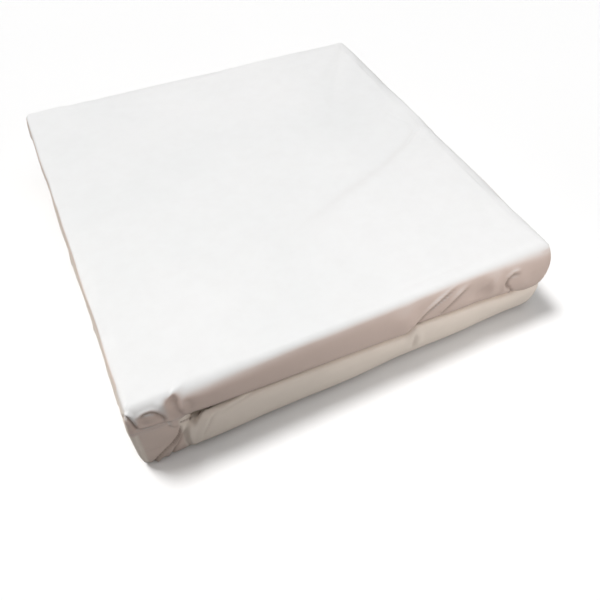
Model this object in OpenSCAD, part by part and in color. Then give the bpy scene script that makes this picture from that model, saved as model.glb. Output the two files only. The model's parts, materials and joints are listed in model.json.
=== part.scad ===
// Square foam mattress section in a zipped wipe-clean cover.
// Origin: middle of the underside. +X right, +Y back, +Z up. Millimetres.

/* [Overall] */
// width across the front
width = 880; // [700:10:1000]
// depth from front to back
depth = 940; // [700:10:1000]
// height from the underside to the lying surface
height = 190; // [180:5:200]
// radius of the four upright corners, at the outer face
corner_radius = 26; // [22:1:40]

/* [Cover] */
// thickness of the cover fabric with its lining
fabric = 2.5; // [1.5:0.1:3]
// radius of the top edge
top_edge = 10; // [6:1:14]
// radius of the bottom edge
base_edge = 8; // [5:1:12]
// how far the lower wall stands behind the upper one
base_inset = 9; // [8:0.5:9.5]
// height of the seam where the upper wall meets the left panel
spine_top = 168; // [140:1:168]
// height of the seam where the lower wall meets the left panel
spine_foot = 20; // [12:1:40]
// distance from the left corners to the ends of the zip
zip_margin = 80; // [60:5:160]

/* [Flap] */
// height of the hem of the flap
hem_height = 95; // [88:1:97]
// height of the fold that the flap turns on
fold_height = 129; // [125:1:129]
// distance from the right corners to the ends of the flaps
flap_margin = 95; // [60:5:160]
// gap between a flap and the wall that it meets
flap_gap = 0.6; // [0.3:0.1:2]

/* [Zip] */
// height of the middle of the chain
zip_height = 111; // [109:1:113]
// depth of the middle of the chain behind the outer face
zip_inset = 14; // [13.5:0.5:15]
// distance from one tooth to the next of the same side
pitch = 6; // [4:1:10]
// thickness of the teeth
tooth_thickness = 3; // [2:0.1:3.2]
// thickness of the woven tapes
tape_thickness = 1; // [0.6:0.1:1.2]
// width of each tape
tape_width = 11.5; // [8:0.5:12]
// length of the slider
slider_length = 18; // [14:1:24]
// height of the slider
slider_height = 12; // [10:0.5:12]
// length of the pull tab from its pivot to its tip
tab_length = 15; // [14:1:24]
// width of the pull tab
tab_width = 8; // [6:0.5:10]

/* [Foam] */
// thickness of the inner sock
sock = 1; // [0.5:0.1:2]
// distance of the inner sock behind the outer face
sock_inset = 19; // [19:0.5:24]
// thickness of the firm base layer
base_layer = 58; // [40:1:60]
// thickness of the soft top layer
top_layer = 50; // [30:1:60]
// width of the firm side rails
rail = 90; // [60:5:120]
// size of one foam block of the middle layer, across
block = 60; // [40:5:90]
// width of the cuts between the blocks
cut = 6; // [3:0.5:10]
// depth of the cuts between the blocks
cut_depth = 45; // [20:1:55]

/* [Hidden] */
$fn = 64;
half_w = width / 2;
half_d = depth / 2;
corner_x = half_w - corner_radius;
corner_y = half_d - corner_radius;

// where the zip and the flaps start and end
zip_x = -half_w + zip_margin;
flap_x = half_w - flap_margin;
flap_y = half_d - flap_margin;

// seam ledges that carry the tapes
fold_clear = 1.9;
fold_bevel = 4;
ledge_up = fold_height + fold_bevel;
ledge_low = hem_height - 2;
strip_inset = zip_inset + tape_thickness / 2;
strip_clear = slider_height / 2 + 1;
strip_thickness = 2;

// half the height over which the left panel steps in
spine_step = 8;

// chain
tooth_width = 0.42 * pitch;
tooth_reach = 2;
bead_near = 2.6;
bead_far = 3.6;
bend = corner_radius - zip_inset;
bend_teeth = 3;
side_teeth = floor(2 * corner_y / pitch);
side_pitch = 2 * corner_y / side_teeth;

// slider, parked at the closed end
slider_x = zip_x + 50;
plate = 2;
plate_gap = tooth_thickness / 2 + 0.7;
plate_front = zip_inset - plate_gap - plate;
plate_back = zip_inset + plate_gap;
post_ahead = 5;
post_size = 4;
chain_x = slider_x - 2;
run_teeth = floor((corner_x - chain_x) / pitch);
run_pitch = (corner_x - chain_x) / run_teeth;
stop_size = 3.5;
stop_gap = 1.5;
stop_split = 0.5;

// pull tab and its stud
stud_radius = 2;
stud_play = 0.05;
stud_head = 3.4;
stud_collar = 3;
tab_front = 4;
tab_thickness = 1.4;
tab_play = 0.2;
head = 0.6;

// foam
core_w = 2 * (half_w - sock_inset - sock);
core_d = 2 * (half_d - sock_inset - sock);
sock_radius = 12;
core_z = fabric + sock;
rail_z = core_z + base_layer;
rail_height = height - 2 * core_z - base_layer - top_layer;
middle_w = core_w - 2 * rail;
blocks_x = round(middle_w / block);
blocks_y = round(core_d / block);

// colours
white = [0.93, 0.94, 0.95];
beige = [0.86, 0.83, 0.78];
grey = [0.30, 0.31, 0.33];
black = [0.10, 0.10, 0.11];
metal = [0.70, 0.71, 0.73];
sock_white = [0.90, 0.88, 0.82];

// A wall profile is drawn with x = distance behind the outer face and y = height.
// The run modules carry it along one side of the mattress, or round one corner.

module front_run(from, to) {
    translate([from, -half_d, 0])
        rotate([90, 0, 90])
            linear_extrude(to - from)
                children();
}

module right_run(from, to) {
    translate([half_w, from, 0])
        rotate([0, 0, 90])
            rotate([90, 0, 90])
                linear_extrude(to - from)
                    children();
}

module back_run(from, to) {
    mirror([0, 1, 0])
        front_run(from, to)
            children();
}

module left_run(from, to) {
    mirror([1, 0, 0])
        right_run(from, to)
            children();
}

module front_right_corner() {
    translate([corner_x, -corner_y, 0])
        rotate([0, 0, -90])
            rotate_extrude(angle = 90)
                translate([corner_radius, 0])
                    mirror([1, 0])
                        children();
}

module back_right_corner() {
    mirror([0, 1, 0])
        front_right_corner()
            children();
}

module left_corners() {
    mirror([1, 0, 0]) {
        front_right_corner()
            children();
        back_right_corner()
            children();
    }
}

// the side that has the zip: front, right and back, up to the zip ends
module zip_sides() {
    front_run(zip_x, corner_x)
        children();
    front_right_corner()
        children();
    right_run(-corner_y, corner_y)
        children();
    back_right_corner()
        children();
    back_run(zip_x, corner_x)
        children();
}

// the side that has no zip: left, with both left corners
module plain_side() {
    front_run(-corner_x, zip_x)
        children();
    left_corners()
        children();
    left_run(-corner_y, corner_y)
        children();
    back_run(-corner_x, zip_x)
        children();
}

// the stretches at the right corners where the upper wall hangs down to the hem
module hung_corners() {
    front_run(flap_x, corner_x)
        children();
    front_right_corner()
        children();
    right_run(-corner_y, -flap_y)
        children();
    right_run(flap_y, corner_y)
        children();
    back_right_corner()
        children();
    back_run(flap_x, corner_x)
        children();
}

module rounded_plan(w, d, r) {
    square([w - 2 * r, d], center = true);
    square([w, d - 2 * r], center = true);
    for (x = [-1, 1], y = [-1, 1])
        translate([x * (w / 2 - r), y * (d / 2 - r)])
            circle(r);
}

// quarter ring in the corner of a wall and a panel, opening away from the middle
module edge_profile(r) {
    intersection() {
        difference() {
            translate([r, 0])
                circle(r);
            translate([r, 0])
                circle(r - fabric);
        }
        square([r, r]);
    }
}

module wall_profile(inset, from, to) {
    translate([inset, from])
        square([fabric, to - from]);
}

// the upper wall above a flap, its lower edge cut back so that the flap can fold up
module fold_profile() {
    polygon([
        [0, fold_height + fold_bevel],
        [fabric / 2, fold_height + fold_clear],
        [fabric, fold_height + fold_clear],
        [fabric, height - top_edge],
        [0, height - top_edge]
    ]);
}

// ledge from a wall to its tape, and the strip that the tape is sewn to
module upper_seam_profile() {
    translate([fabric, ledge_up])
        square([strip_inset + strip_thickness - fabric, fabric]);
    translate([strip_inset, zip_height + strip_clear])
        square([strip_thickness, ledge_up - zip_height - strip_clear]);
}

module lower_seam_profile() {
    translate([base_inset + fabric, ledge_low])
        square([strip_inset + strip_thickness - base_inset - fabric, fabric]);
    translate([strip_inset, ledge_low + fabric])
        square([strip_thickness, zip_height - strip_clear - ledge_low - fabric]);
}

// the left panel: flush with the upper wall, then stepping in to the lower one
module spine_profile() {
    polygon([
        [0, spine_top],
        [0, hem_height + spine_step],
        [base_inset, hem_height - spine_step],
        [base_inset, spine_foot],
        [base_inset + fabric, spine_foot],
        [base_inset + fabric, hem_height - spine_step],
        [fabric, hem_height + spine_step],
        [fabric, spine_top]
    ]);
}

module cover_top() {
    color(white) {
        translate([0, 0, height - fabric])
            linear_extrude(fabric)
                rounded_plan(width - 2 * top_edge, depth - 2 * top_edge, corner_radius - top_edge);
        zip_sides()
            translate([0, height - top_edge])
                edge_profile(top_edge);
        plain_side()
            translate([0, height - top_edge])
                edge_profile(top_edge);
        front_run(zip_x, flap_x)
            fold_profile();
        right_run(-flap_y, flap_y)
            fold_profile();
        back_run(zip_x, flap_x)
            fold_profile();
        hung_corners()
            wall_profile(0, hem_height, height - top_edge);
        plain_side()
            wall_profile(0, spine_top, height - top_edge);
        zip_sides()
            upper_seam_profile();
    }
}

module cover_base() {
    color(beige) {
        linear_extrude(fabric)
            rounded_plan(
                width - 2 * (base_inset + base_edge),
                depth - 2 * (base_inset + base_edge),
                corner_radius - base_inset - base_edge
            );
        zip_sides()
            translate([base_inset, base_edge])
                mirror([0, 1])
                    edge_profile(base_edge);
        plain_side()
            translate([base_inset, base_edge])
                mirror([0, 1])
                    edge_profile(base_edge);
        zip_sides()
            wall_profile(base_inset, base_edge, ledge_low + fabric);
        plain_side()
            wall_profile(base_inset, base_edge, spine_foot);
        zip_sides()
            lower_seam_profile();
    }
}

module cover_spine() {
    color(white)
        plain_side()
            spine_profile();
}

// a flap: a flat strip with a round bead along the fold that it turns on
module flap_profile() {
    translate([0, hem_height])
        square([fabric, fold_height - hem_height]);
    translate([fabric / 2, fold_height])
        circle(fabric / 2);
}

module flap_front() {
    color(white)
        front_run(zip_x + flap_gap, flap_x - flap_gap)
            flap_profile();
}

module flap_right() {
    color(white)
        right_run(-flap_y + flap_gap, flap_y - flap_gap)
            flap_profile();
}

module flap_back() {
    color(white)
        back_run(zip_x + flap_gap, flap_x - flap_gap)
            flap_profile();
}

module tape_profile(from) {
    translate([zip_inset - tape_thickness / 2, from])
        square([tape_thickness, tape_width]);
}

module zip_tape_upper() {
    color(black)
        zip_sides()
            tape_profile(zip_height + bead_far);
}

module zip_tape_lower() {
    color(black)
        zip_sides()
            tape_profile(zip_height - bead_far - tape_width);
}

// one side of the chain on a straight run: a bead with square teeth; x along the run, y up
function comb(count, step, phase) = concat(
    [[0, bead_far], [0, bead_near]],
    [for (i = [0 : count - 1], k = [0 : 3])
        [(i + phase) * step + (k < 2 ? -1 : 1) * tooth_width / 2,
         (k == 0 || k == 3) ? bead_near : -tooth_reach]],
    [[count * step, bead_near], [count * step, bead_far]]
);

module comb_strip(count, step, phase, side) {
    translate([0, zip_inset + tooth_thickness / 2, zip_height])
        rotate([90, 0, 0])
            linear_extrude(tooth_thickness)
                mirror([0, side > 0 ? 0 : 1])
                    polygon(comb(count, step, phase));
}

module bend_chain(phase, side) {
    bead_z = side > 0 ? bead_near : -bead_far;
    tooth_z = side > 0 ? -tooth_reach : -bead_near;
    translate([corner_x, -corner_y, zip_height])
        rotate([0, 0, -90]) {
            rotate_extrude(angle = 90)
                translate([bend - tooth_thickness / 2, bead_z])
                    square([tooth_thickness, bead_far - bead_near]);
            for (i = [0 : bend_teeth - 1])
                rotate([0, 0, (i + phase) * 90 / bend_teeth])
                    translate([bend - tooth_thickness / 2, -tooth_width / 2, tooth_z])
                        cube([tooth_thickness, tooth_width, tooth_reach + bead_near]);
        }
}

module chain_half(phase, side) {
    for (y = [0, 1])
        mirror([0, y, 0]) {
            translate([chain_x, -half_d, 0])
                comb_strip(run_teeth, run_pitch, phase, side);
            bend_chain(phase, side);
        }
    translate([half_w, -corner_y, 0])
        rotate([0, 0, 90])
            comb_strip(side_teeth, side_pitch, phase, side);
}

module zip_teeth_upper() {
    color(grey)
        chain_half(0.25, 1);
}

module zip_teeth_lower() {
    color(grey)
        chain_half(0.75, -1);
}

// the slider is drawn about its own middle: x along the zip, y inwards, z up
module at_slider() {
    translate([slider_x, -half_d, zip_height])
        children();
}

module zip_slider_body() {
    color(metal)
        at_slider() {
            for (y = [plate_front, plate_back])
                translate([-slider_length / 2, y, -slider_height / 2])
                    cube([slider_length, plate, slider_height]);
            translate([-post_ahead - post_size / 2, plate_front + plate, -post_size / 2])
                cube([post_size, 2 * plate_gap, post_size]);
        }
}

// stud with a collar behind the tab and a head in front of it
module zip_slider_stud() {
    color(metal)
        at_slider()
            rotate([-90, 0, 0]) {
                translate([0, 0, tab_front - tab_play - head])
                    cylinder(r = stud_head, h = head);
                translate([0, 0, tab_front - tab_play])
                    cylinder(r = stud_radius, h = plate_front - tab_front + tab_play);
                translate([0, 0, tab_front + tab_thickness + tab_play])
                    cylinder(r = stud_collar, h = plate_front - tab_front - tab_thickness - tab_play);
            }
}

module tab_outline() {
    circle(tab_width / 2);
    translate([-tab_width / 2, tab_width / 2 - tab_length])
        square([tab_width, tab_length - tab_width / 2]);
    translate([0, tab_width / 2 - tab_length])
        circle(tab_width / 2);
}

// hangs from its stud
module zip_pull_tab() {
    color(black)
        at_slider()
            translate([0, tab_front + tab_thickness, 0])
                rotate([90, 0, 0])
                    linear_extrude(tab_thickness)
                        difference() {
                            tab_outline();
                            circle(stud_radius + stud_play);
                            translate([0, tab_width - tab_length])
                                circle(tab_width / 4);
                        }
}

// one stop on the edge of each tape, just beyond the parked slider
module zip_top_stops() {
    color(metal)
        for (side = [0, 1])
            at_slider()
                mirror([0, 0, side])
                    translate([
                        -slider_length / 2 - stop_gap - stop_size,
                        zip_inset - tooth_thickness / 2,
                        stop_split
                    ])
                        cube([stop_size, tooth_thickness, bead_far - stop_split]);
}

module zip_bottom_stop() {
    color(metal)
        translate([
            chain_x - stop_size,
            half_d - zip_inset - tooth_thickness / 2,
            zip_height - bead_far
        ])
            cube([stop_size, tooth_thickness, 2 * bead_far]);
}

// closes the end of the zip channel, between the two ledges and in front of the tapes
module end_patch() {
    translate([zip_x, -half_d + fabric, ledge_low + fabric])
        cube([fabric, zip_inset - tape_thickness / 2 - fabric, ledge_up - ledge_low - fabric]);
}

module zip_end_patch_front() {
    color(white)
        end_patch();
}

module zip_end_patch_back() {
    color(white)
        mirror([0, 1, 0])
            end_patch();
}

module fire_sock() {
    color(sock_white)
        translate([0, 0, fabric])
            difference() {
                linear_extrude(height - 2 * fabric)
                    rounded_plan(core_w + 2 * sock, core_d + 2 * sock, sock_radius);
                translate([0, 0, sock])
                    linear_extrude(height - 2 * core_z)
                        rounded_plan(core_w, core_d, sock_radius - sock);
            }
}

module foam_slab(from, thickness) {
    translate([0, 0, from])
        linear_extrude(thickness)
            rounded_plan(core_w, core_d, sock_radius - sock);
}

module foam_base() {
    color([0.55, 0.63, 0.72])
        foam_slab(core_z, base_layer);
}

module foam_visco() {
    color([0.96, 0.90, 0.62])
        foam_slab(rail_z + rail_height, top_layer);
}

module rail_solid(side) {
    color([0.50, 0.58, 0.68])
        intersection() {
            foam_slab(rail_z, rail_height);
            translate([side * (core_w - rail) / 2, 0, rail_z + rail_height / 2])
                cube([rail, core_d, rail_height], center = true);
        }
}

module foam_rail_left() {
    rail_solid(-1);
}

module foam_rail_right() {
    rail_solid(1);
}

// middle layer, cut from above into a grid of separate blocks on a common sheet
module foam_castellated() {
    color([0.93, 0.93, 0.90])
        translate([-middle_w / 2, -core_d / 2, rail_z])
            difference() {
                cube([middle_w, core_d, rail_height]);
                for (i = [1 : blocks_x - 1])
                    translate([i * middle_w / blocks_x - cut / 2, -1, rail_height - cut_depth])
                        cube([cut, core_d + 2, cut_depth + 1]);
                for (i = [1 : blocks_y - 1])
                    translate([-1, i * core_d / blocks_y - cut / 2, rail_height - cut_depth])
                        cube([middle_w + 2, cut, cut_depth + 1]);
            }
}

cover_top();
cover_base();
cover_spine();
flap_front();
flap_right();
flap_back();
zip_tape_upper();
zip_tape_lower();
zip_teeth_upper();
zip_teeth_lower();
zip_slider_body();
zip_slider_stud();
zip_pull_tab();
zip_top_stops();
zip_bottom_stop();
zip_end_patch_front();
zip_end_patch_back();
fire_sock();
foam_base();
foam_rail_left();
foam_rail_right();
foam_castellated();
foam_visco();
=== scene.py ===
import json
import math
from functools import partial

import bmesh
import bpy
import numpy as np
from mathutils import Matrix, Vector


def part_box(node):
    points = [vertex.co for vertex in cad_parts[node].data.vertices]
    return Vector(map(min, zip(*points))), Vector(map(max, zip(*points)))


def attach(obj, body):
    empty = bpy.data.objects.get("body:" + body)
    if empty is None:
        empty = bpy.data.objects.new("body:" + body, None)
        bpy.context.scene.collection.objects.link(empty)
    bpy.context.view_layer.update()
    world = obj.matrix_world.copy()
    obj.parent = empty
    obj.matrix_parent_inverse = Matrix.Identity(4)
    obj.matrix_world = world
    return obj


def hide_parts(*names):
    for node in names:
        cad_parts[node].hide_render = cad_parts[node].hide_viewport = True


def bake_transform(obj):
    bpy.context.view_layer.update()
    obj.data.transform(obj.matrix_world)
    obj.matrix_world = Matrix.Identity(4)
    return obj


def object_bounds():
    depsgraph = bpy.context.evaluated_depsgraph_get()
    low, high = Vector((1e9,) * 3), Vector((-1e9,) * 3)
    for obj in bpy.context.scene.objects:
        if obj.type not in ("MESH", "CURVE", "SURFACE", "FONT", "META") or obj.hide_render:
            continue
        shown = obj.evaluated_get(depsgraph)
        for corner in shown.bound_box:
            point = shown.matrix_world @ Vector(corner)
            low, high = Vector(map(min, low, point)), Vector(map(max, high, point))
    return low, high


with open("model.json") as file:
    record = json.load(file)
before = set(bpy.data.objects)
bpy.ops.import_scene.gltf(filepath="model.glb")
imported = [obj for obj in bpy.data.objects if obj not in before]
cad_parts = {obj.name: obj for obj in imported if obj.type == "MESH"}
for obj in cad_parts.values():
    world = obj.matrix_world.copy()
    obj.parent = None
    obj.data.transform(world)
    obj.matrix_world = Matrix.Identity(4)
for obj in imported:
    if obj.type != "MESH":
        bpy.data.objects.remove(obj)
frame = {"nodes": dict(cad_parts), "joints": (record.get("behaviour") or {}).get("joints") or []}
cad_low, cad_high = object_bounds()
scene = bpy.context.scene

# ---------------------------------------------------------------- sizes from the frame
HX, HY, TOP = cad_high
joints = {j["name"]: j for j in frame["joints"]}
FOLD = joints["flap_front_lift"]["pos_m"][2]
front_low, front_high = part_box("flap_front")
ZIP_X, FLAP_X = front_low[0], front_high[0]
FLAP_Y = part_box("flap_right")[1][1]
TAPE_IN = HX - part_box("zip_tape_lower")[1][0]
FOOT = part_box("cover_spine")[0][2]
FRONT = -HY
MM = 0.001


def put(name, data):
    """A new object in the scene."""
    obj = bpy.data.objects.new(name, data)
    scene.collection.objects.link(obj)
    return obj


def ease(t):
    t = np.clip(t, 0, 1)
    return t * t * (3 - 2 * t)


def mix(a, b, t):
    return a * (1 - t) + b * t


def hump(x, middle, width):
    return np.exp(-(((x - middle) / width) ** 2))


# ---------------------------------------------------------------- smooth seeded noise
def noise_round(seed, wave):
    """Smooth noise in about -1..1 round the cover, which meets itself after one turn."""
    random = np.random.default_rng(seed)
    total = np.zeros(COLS)
    for i in range(1, 7):
        turns = max(1, round(GIRTH / wave * i / 3))
        start = random.uniform(0, 2 * np.pi)
        total += np.sin(2 * np.pi * turns * AROUND / GIRTH + start) * random.uniform(0.4, 1)
    return total / 3


def noise_3d(p, wave, seed, octaves=3):
    """Smooth noise in about -1..1 from sums of slanted waves."""
    random = np.random.default_rng(seed)
    total = np.zeros(len(p))
    amount, scale = 1.0, 2 * np.pi / wave
    for _ in range(octaves):
        for _ in range(7):
            d = random.normal(size=3)
            d /= np.linalg.norm(d)
            bend = random.normal(size=3)
            phase = random.uniform(0, 2 * np.pi)
            total += amount * np.sin(scale * (p @ d) + phase + 0.9 * np.sin(scale * 0.6 * (p @ bend)))
        amount *= 0.5
        scale *= 1.9
    return total / 6


# ---------------------------------------------------------------- columns round the cover
def graded(half, count, fine, gain):
    """Places from -half to half, closest together in the stretches listed."""
    x = np.linspace(-half, half, 6001)
    weight = np.ones_like(x)
    for a, b in fine:
        weight += gain * ease((x - a) / 0.03 + 1) * ease((b - x) / 0.03 + 1)
    share = np.concatenate([[0], np.cumsum((weight[1:] + weight[:-1]) / 2)])
    return np.interp(np.linspace(0, share[-1], count), share, x)


def snap(values, at):
    values[np.argmin(np.abs(values - at))] = at


NX, NY = 300, 132
grid_x = graded(HX, NX, [(-HX, ZIP_X + 0.17), (0.10, 0.27), (HX - 0.11, HX)], 1.9)
grid_y = graded(HY, NY, [(-HY, -HY + 0.02), (HY - 0.02, HY)], 2.2)
snap(grid_x, ZIP_X)
snap(grid_x, FLAP_X)
snap(grid_y, FLAP_Y)
snap(grid_y, -FLAP_Y)

# the columns in their order round the cover: front, right, back, left
loop_i = np.concatenate([
    np.arange(NX), np.full(NY - 1, NX - 1), np.arange(NX - 2, -1, -1), np.zeros(NY - 2, int),
])
loop_j = np.concatenate([
    np.zeros(NX, int), np.arange(1, NY), np.full(NX - 1, NY - 1), np.arange(NY - 2, 0, -1),
])
COLS = len(loop_i)
flat_x, flat_y = grid_x[loop_i], grid_y[loop_j]
FX, FY = flat_x / HX, flat_y / HY
step = np.hypot(np.diff(flat_x, append=flat_x[0]), np.diff(flat_y, append=flat_y[0]))
AROUND = np.concatenate([[0], np.cumsum(step)[:-1]])
GIRTH = float(step.sum())
on_front = loop_j == 0
on_back = loop_j == NY - 1
on_right = (loop_i == NX - 1) & ~on_front & ~on_back
on_left = (loop_i == 0) & ~on_front & ~on_back


def at_corners(front_left, front_right, back_right, back_left):
    """One value for the columns of each quarter of the cover."""
    return np.where(FY < 0, np.where(FX < 0, front_left, front_right), np.where(FX < 0, back_left, back_right))


def ring(out, radius):
    """Places of one loop of columns on a rounded rectangle that stands out from the CAD box by out."""
    hx, hy = HX + out, HY + out
    x, y = FX * hx, FY * hy
    from_x, from_y = hx - np.abs(x), hy - np.abs(y)
    facing_y = from_y <= from_x
    along = np.maximum(from_x, from_y)
    turn = np.clip(1 - along / radius, 0, 1) * np.pi / 4
    sx, sy = np.sign(x), np.sign(y)
    near = turn > 0
    px = np.where(near & facing_y, sx * (hx - radius + radius * np.sin(turn)), x)
    py = np.where(near & facing_y, sy * (hy - radius + radius * np.cos(turn)), y)
    px = np.where(near & ~facing_y, sx * (hx - radius + radius * np.cos(turn)), px)
    py = np.where(near & ~facing_y, sy * (hy - radius + radius * np.sin(turn)), py)
    return px, py


# ---------------------------------------------------------------- profiles of the side wall
def profile(start, turns, rows, dense=2.0):
    """Offsets outwards and downwards, in metres, of a curve given by stretches of (length in mm, tilt at end).
    Tilt is the slope of the fabric below level, in degrees."""
    s = np.cumsum([0.0] + [t[0] for t in turns])
    tilt = np.array([start] + [t[1] for t in turns], float)
    fine = np.linspace(0, s[-1], 1200)
    angle = np.interp(fine, s, tilt)
    width = 51
    padded = np.concatenate([np.full(width, angle[0]), angle, np.full(width, angle[-1])])
    window = np.hanning(width)
    angle = np.convolve(padded, window / window.sum(), "same")[width:-width]
    rad = np.radians(angle)
    d = np.diff(fine, prepend=0)
    out, drop = np.cumsum(np.cos(rad) * d), np.cumsum(np.sin(rad) * d)
    weight = np.cumsum(d * (1 + dense * np.abs(np.gradient(rad, fine)) * 10))
    at = np.interp(np.linspace(0, weight[-1], rows), weight, fine)
    return np.interp(at, fine, out) * MM, np.interp(at, fine, drop) * MM


EDGE_IN = 22 * MM           # where the lying surface starts to turn down
SIDE_ROWS, LIP_ROWS, LOW_ROWS = 40, 14, 40

side_round = profile(0, [(3, 4), (44, 78), (24, 98), (19, 124), (5, 168)], SIDE_ROWS)
side_tight = profile(0, [(13, 5), (19, 70), (30, 89), (20, 100), (20, 124), (5, 168)], SIDE_ROWS)
side_plain = profile(0, [(16, 5), (12, 77), (30, 86), (45, 92)], SIDE_ROWS)
lip = profile(168, [(5, 270), (22, 272)], LIP_ROWS)
low_zip = profile(
    80, [(5, 80), (3, 14), (16, 16), (10, 60), (16, 86), (32, 98), (20, 124), (20, 177)], LOW_ROWS
)
low_plain = profile(91, [(60, 90), (34, 100), (9, 124), (8, 172)], LOW_ROWS)

# how far each column belongs to the zipped sides
zipped = np.where(flat_x > ZIP_X, ease((flat_x - ZIP_X) / 0.022), 0.0)
zipped[on_right] = 1.0
zipped[on_left] = 0.0

wander = noise_round(11, 0.9)
# the hem falls from left to right along the front, and steps up where a tuck is caught under it
hem_front = 0.1127 - 0.068 * np.maximum(flat_x + 0.30, 0) + 0.019 * ease((flat_x - 0.093) / 0.031)
hem_front += (
    -0.003 * ease((flat_x - 0.14) / 0.1) - 0.004 * ease((flat_x - 0.29) / 0.05)
    - 0.009 * ease((flat_x - 0.366) / 0.026)
)
hem_front += 0.010 * ease((ZIP_X - 0.025 - flat_x) / 0.05) + 0.005 * hump(flat_x, -0.333, 0.018)
hem_right = hem_front[on_front][-1] + 0.024 * ease((flat_y + HY) / 0.30) + 0.004 * wander
hem_back = 0.087 + 0.010 * (HX - flat_x) + 0.005 * wander
hem_left = mix(hem_back, 0.124, ease((HY - flat_y) / (2 * HY)))
hem = np.where(on_front, hem_front, np.where(on_right, hem_right, np.where(on_back, hem_back, hem_left)))


def soften(values, width=7):
    """Values round the cover evened out over width columns."""
    window = np.hanning(width)
    turned = np.concatenate([values[-width:], values, values[:width]])
    return np.convolve(turned, window / window.sum(), "same")[width:-width]


hem = soften(hem)
roundness = 0.22 + 0.2 * noise_round(5, 0.5)
roundness_front = 0.85 - 0.75 * ease((flat_x + 0.33) / 0.20) + 0.5 * ease((flat_x - 0.27) / 0.08)
roundness = np.where(on_front, roundness_front, roundness)
roundness = soften(np.clip(roundness, 0, 1), 21)

# ---------------------------------------------------------------- the smooth skin of the cover
gx, gy = np.meshgrid(grid_x * (HX - EDGE_IN) / HX, grid_y * (HY - EDGE_IN) / HY, indexing="ij")
gx[loop_i, loop_j], gy[loop_i, loop_j] = ring(np.full(COLS, -EDGE_IN), np.full(COLS, 5 * MM))
px, py = gx.ravel(), gy.ravel()
away = np.minimum(HX - np.abs(px), HY - np.abs(py))
flat = np.stack([px, py, np.zeros_like(px)], 1)
pz = TOP + 1.2 * MM + 1.8 * MM * ease((away - EDGE_IN) / 0.25) + 0.6 * MM * noise_3d(flat, 0.42, 3, 2)
top_points = np.stack([px, py, pz], 1)
rim_ids = loop_i * NY + loop_j
rim_z = pz[rim_ids]


def fit(curve, drop, start_out, end_out, zs):
    """A profile stretched to fall by drop, and slid so that it starts and ends at the offsets given."""
    out, down = curve
    scale = drop / down[-1]
    o = start_out[None, :] + out[:, None] * (1 + 0.4 * (scale[None, :] - 1))
    share = (down / down[-1])[:, None]
    return o + (end_out - o[-1])[None, :] * share, zs[None, :] - down[:, None] * scale[None, :]


hem_out = 3 * MM + 1.6 * MM * noise_round(21, 0.35)
hem_out = np.where(on_front, 3 * MM + 3.5 * MM * hump(flat_x, 0.405, 0.03), hem_out)
hem_out = soften(np.where(on_right, hem_out - 5 * MM * ease((0.14 - flat_y - HY) / 0.14), hem_out), 9)
near_left = np.where(on_left, ease((HY - flat_y) / HY), hump(flat_x, -HX, 0.06) * on_front)
join_out = 5 * MM + 1.5 * MM * wander + 3.5 * MM * near_left
start = np.full(COLS, -EDGE_IN)
drop = rim_z - hem
o_round, z_round = fit(side_round, drop, start, hem_out, rim_z)
o_tight, z_tight = fit(side_tight, drop, start, hem_out, rim_z)
o_plain, z_plain = fit(side_plain, drop, start, join_out, rim_z)
o_soft, z_soft = mix(o_tight, o_round, roundness), mix(z_tight, z_round, roundness)
plain_top = 0.6 * ease((ZIP_X - flat_x) / 0.01) * on_front
rounded = plain_top[None, :] * (1 - ease((np.arange(SIDE_ROWS) - 18) / 14))[:, None]
o_wrap, z_wrap = mix(o_plain, o_soft, rounded), mix(z_plain, z_soft, rounded)
side_out, side_z = mix(o_wrap, o_soft, zipped), mix(z_wrap, z_soft, zipped)

fall = (np.arange(SIDE_ROWS) / (SIDE_ROWS - 1))[:, None]
side_radius = at_corners(5, 6, 6, 6)[None, :] * MM + ease(fall * 1.4) * at_corners(5, 20, 22, 22)[None, :] * MM

lip_out = side_out[-1][None, :] + lip[0][1:, None]
lip_z = side_z[-1][None, :] - lip[1][1:, None]
lip_radius = np.repeat(side_radius[-1:], LIP_ROWS - 1, 0)

TUCK_Z = 100.5 * MM          # the upper edge of the lower half, just over the edge of its tape
low_start_z = mix(hem, np.full(COLS, TUCK_Z), zipped)
low_start_out = mix(join_out, np.full(COLS, -TAPE_IN + 0.8 * MM), zipped)
foot_out = mix(-7 * MM, -13 * MM, zipped) + 3 * MM * noise_round(31, 0.5) * (0.3 + 0.7 * zipped)
foot_out = soften(foot_out, 15)
lz_out, lz_z = fit(low_zip, low_start_z, low_start_out, foot_out, low_start_z)
lp_out, lp_z = fit(low_plain, low_start_z, low_start_out, foot_out, low_start_z)
# outside the zip the lower half swells up to just under the hem, wherever the hem runs
shoulder = lz_z[np.argmax(lz_out > 1 * MM, 0), np.arange(COLS)]
lift = np.clip(hem - 2.5 * MM - shoulder, -10 * MM, 18 * MM)
lift = soften(np.where(on_front, lift * ease((flat_x + 0.338) / 0.022), lift), 7)
lz_z = lz_z + lift[None, :] * ease((lz_out + 3.5 * MM) / (4 * MM)) * ease((lz_z - 40 * MM) / (45 * MM))
low_out, low_z = mix(lp_out, lz_out, zipped), mix(lp_z, lz_z, zipped)
sink = (np.arange(LOW_ROWS) / (LOW_ROWS - 1))[:, None]
low_radius = at_corners(10, 24, 26, 26)[None, :] * MM + sink * at_corners(3, 26, 10, 10)[None, :] * MM
bottom_out = np.array([-0.02, -0.03, -0.05, -0.09, -0.16])[:, None] + 0 * foot_out[None, :]


def loops(out, radius, z):
    points = []
    for o, r, h in zip(out, radius, z):
        x, y = ring(o, r)
        points.append(np.stack([x, y, h], 1))
    return np.array(points)


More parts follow.
